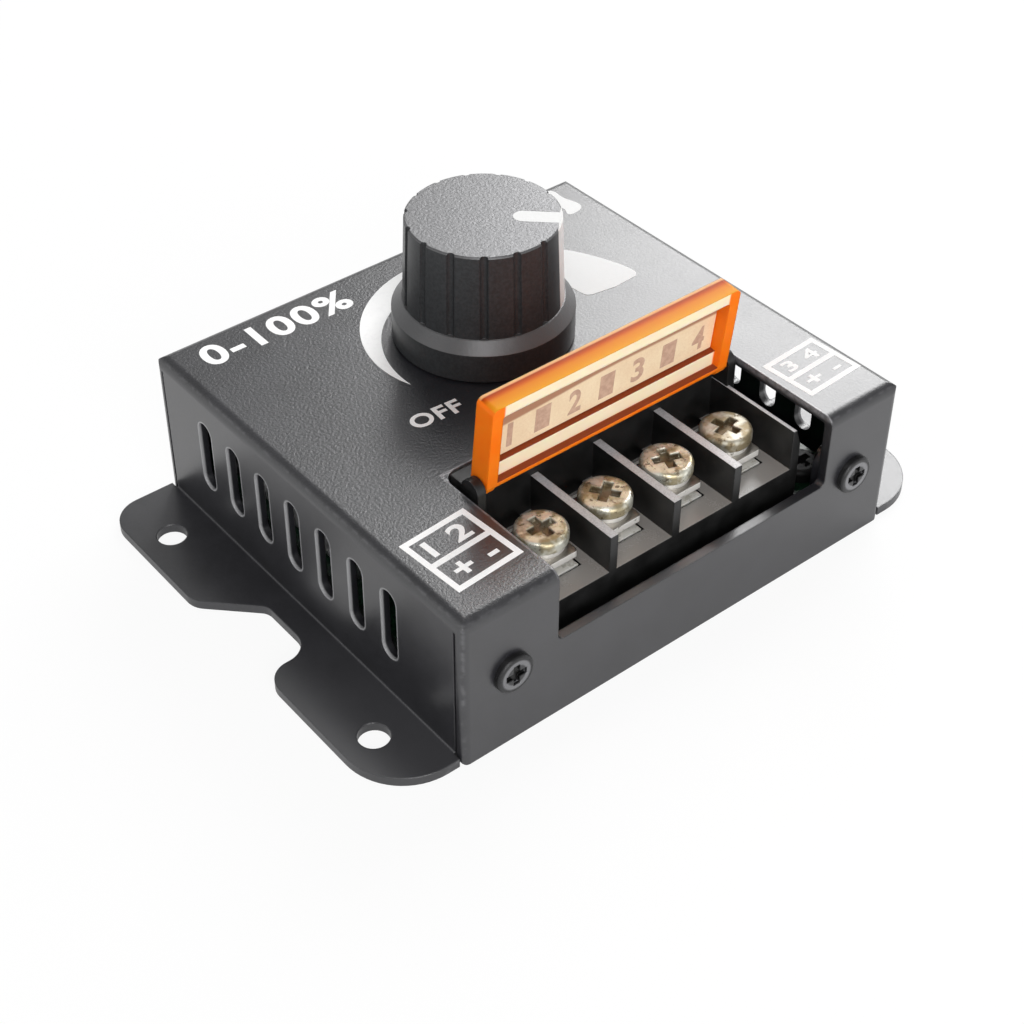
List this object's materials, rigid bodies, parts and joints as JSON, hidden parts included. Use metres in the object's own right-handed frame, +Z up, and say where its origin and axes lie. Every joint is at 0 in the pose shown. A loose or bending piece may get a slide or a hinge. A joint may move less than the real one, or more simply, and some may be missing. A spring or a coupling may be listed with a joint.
{
  "type": "led dimmer",
  "caption": "Knob dimmer for low-voltage LED lighting: folded black metal case with vents and mounting flanges, fluted knob, recessed screw terminals under an amber flip cover",
  "frame": {"origin": "underside of the case, midway between the side walls and between the panels", "axes": "+X to the right along the terminal face, +Y towards the back, +Z up out of the knob's face"},
  "size_m": [0.0856, 0.0624, 0.0379],
  "materials": {
    "case_paint": "fine-grained satin black paint",
    "black_screw": "black oxide",
    "film": "matt film",
    "brass": "plain turned",
    "board": "solder mask",
    "zinc_steel": "zinc plated",
    "black_moulding": "moulded satin",
    "nickel": "warm nickel plate",
    "amber": "clear moulded amber",
    "label_paper": "matt paper",
    "knob_plastic": "spark-eroded satin",
    "white_inlay": "satin white",
    "shaft_metal": "plain",
    "phenolic": "pressed board",
    "chip_epoxy": "moulded",
    "sleeve": "shrink sleeve",
    "resistor_coat": "lacquer"
  },
  "bodies": {
    "case": {"housing": "case_paint", "base_plate": "case_paint", "case_screws": "black_screw", "insulating_sheet": "film", "transistor_pad_1": "film", "transistor_pad_2": "film", "standoffs": "brass", "pot_bushing": "brass", "circuit_board": "board", "board_screws": "zinc_steel", "transistor_screws": "zinc_steel", "pot_washer": "zinc_steel", "pot_nut": "zinc_steel", "terminal_block": "black_moulding", "terminal_contact_1": "nickel", "terminal_contact_2": "nickel", "terminal_contact_3": "nickel", "terminal_contact_4": "nickel", "clamp_washers": "nickel", "lock_washers": "nickel", "terminal_screws": "nickel", "pot_terminals": "nickel", "pot_can": "shaft_metal", "heat_spreader": "shaft_metal", "pot_wafer": "phenolic", "power_transistor_1": "chip_epoxy", "power_transistor_2": "chip_epoxy", "control_chip": "chip_epoxy", "voltage_regulator": "chip_epoxy", "flyback_diode": "chip_epoxy", "input_capacitor_1": "sleeve", "input_capacitor_2": "sleeve", "resistors": "resistor_coat"},
    "knob": {"knob": "knob_plastic", "knob_pointer": "white_inlay", "pot_shaft": "shaft_metal", "pot_wiper": "phenolic"},
    "cover": {"terminal_cover": "amber", "cover_label": "label_paper"}
  },
  "joints": [
    {"name": "knob_turn", "type": "hinge", "parent": "case", "child": "knob", "pos_m": [0.0015, 0.0092, 0.03], "axis": [0, 0, 1], "range_deg": [0, 270]},
    {"name": "cover_flip", "type": "hinge", "parent": "case", "child": "cover", "pos_m": [0.0005, -0.01425, 0.02153], "axis": [1, 0, 0], "range_deg": [0, 93]}
  ]
}
